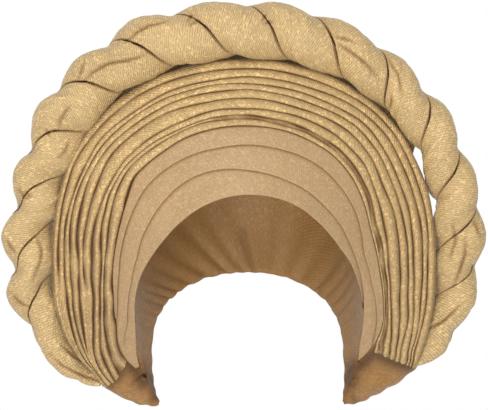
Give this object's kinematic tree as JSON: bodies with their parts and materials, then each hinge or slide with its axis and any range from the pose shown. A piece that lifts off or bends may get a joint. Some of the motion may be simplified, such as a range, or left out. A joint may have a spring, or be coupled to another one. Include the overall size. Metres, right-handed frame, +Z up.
{
  "type": "tied head wrap",
  "caption": "Head wrap held in its worn shape: fitted cap with an open nape, flat folds framing the face, a fan of pleats above them and a twisted padded braid round the fan's rim.",
  "frame": {"origin": "inside of the crown, where the top of the head rests", "axes": "-Y the way the face looks, +Z up along the head, +X to the right as seen from the front"},
  "size_m": [0.3403, 0.1977, 0.2835],
  "materials": {
    "cap_satin": "satin",
    "fold_cloth": "matt satin",
    "lurex_cloth": "fine weave with a metallic thread"
  },
  "bodies": {
    "root": {"head_cap": "cap_satin", "front_fold_inner": "fold_cloth", "front_fold_middle": "fold_cloth", "front_fold_outer": "fold_cloth", "pleated_halo": "lurex_cloth", "braid_roll_a": "lurex_cloth", "braid_roll_b": "lurex_cloth"}
  },
  "joints": []
}
